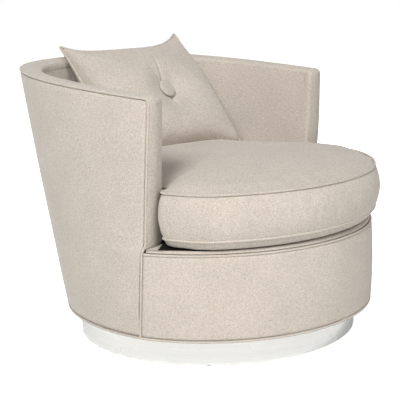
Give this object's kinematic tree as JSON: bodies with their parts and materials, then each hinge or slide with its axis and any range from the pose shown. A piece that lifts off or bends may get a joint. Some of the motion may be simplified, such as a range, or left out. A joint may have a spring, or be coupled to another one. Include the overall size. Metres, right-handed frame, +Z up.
{
  "type": "swivel barrel chair",
  "caption": "Upholstered swivel barrel chair: curved back and arms, loose seat cushion, buttoned throw pillow, round bright metal plinth that it turns on.",
  "frame": {"origin": "on the floor, under the middle of the chair's box; the swivel axis stands 28.6 mm in front of it", "axes": "+Z up, the sitter faces -Y, left and right are -X and +X"},
  "size_m": [0.814, 0.9072, 0.7342],
  "materials": {
    "body_fabric": "woven upholstery fabric, light heathered beige",
    "welt_fabric": "the same fabric, sewn over welt cord",
    "decking_cloth": "black decking cloth",
    "dust_cloth": "black spunbond dust cloth",
    "plywood": "bare birch plywood",
    "hardwood": "bare sawn hardwood",
    "bright_metal_band": "bright polished, faintly brushed",
    "zinc_steel": "zinc plated",
    "spring_steel": "oiled dark spring wire",
    "nylon": "moulded black nylon"
  },
  "bodies": {
    "base": {"plinth_band": "bright_metal_band", "plinth_curb": "plywood", "plinth_deck_disc": "plywood", "plinth_batten_left": "hardwood", "plinth_batten_right": "hardwood", "floor_glide_1": "nylon", "floor_glide_2": "nylon", "floor_glide_3": "nylon", "floor_glide_4": "nylon", "floor_glide_5": "nylon", "floor_glide_6": "nylon", "swivel_lower_plate": "zinc_steel", "lower_screw_1": "zinc_steel", "lower_screw_2": "zinc_steel", "lower_screw_3": "zinc_steel", "lower_screw_4": "zinc_steel", "kingpin_bolt": "zinc_steel", "kingpin_nut": "zinc_steel"},
    "ball_ring": {"swivel_ball_ring": "zinc_steel"},
    "seat": {"front_apron": "body_fabric", "shell_outer_cover": "body_fabric", "inner_back_pad": "body_fabric", "boxing_band": "body_fabric", "deck_lip": "body_fabric", "seat_cushion": "body_fabric", "throw_pillow": "body_fabric", "pillow_button_front": "body_fabric", "pillow_button_back": "body_fabric", "rim_welt": "welt_fabric", "apron_top_welt": "welt_fabric", "bottom_welt": "welt_fabric", "cushion_top_welt": "welt_fabric", "cushion_bottom_welt": "welt_fabric", "pillow_welt": "welt_fabric", "deck_pad": "decking_cloth", "dust_cover": "dust_cloth", "bottom_frame_ring": "plywood", "top_rail": "plywood", "wall_seat_rail": "plywood", "front_seat_rail": "plywood", "cross_rail_left": "hardwood", "cross_rail_right": "hardwood", "arm_post_left": "hardwood", "arm_post_right": "hardwood", "back_post_left": "hardwood", "back_post_centre": "hardwood", "back_post_right": "hardwood", "front_stud_left": "hardwood", "front_stud_right": "hardwood", "swivel_upper_plate": "zinc_steel", "upper_screw_1": "zinc_steel", "upper_screw_2": "zinc_steel", "upper_screw_3": "zinc_steel", "upper_screw_4": "zinc_steel", "seat_spring_1": "spring_steel", "seat_spring_2": "spring_steel", "seat_spring_3": "spring_steel", "seat_spring_4": "spring_steel"}
  },
  "joints": [
    {"name": "swivel", "type": "hinge", "parent": "base", "child": "seat", "pos_m": [0, -0.0286, 0.075], "axis": [0, 0, 1], "continuous": true},
    {"name": "ball_ring_roll", "type": "hinge", "parent": "base", "child": "ball_ring", "pos_m": [0, -0.0286, 0.075], "axis": [0, 0, 1], "continuous": true}
  ],
  "couplings": [
    {"joint": "ball_ring_roll", "follows": "swivel", "ratio": 0.5}
  ]
}
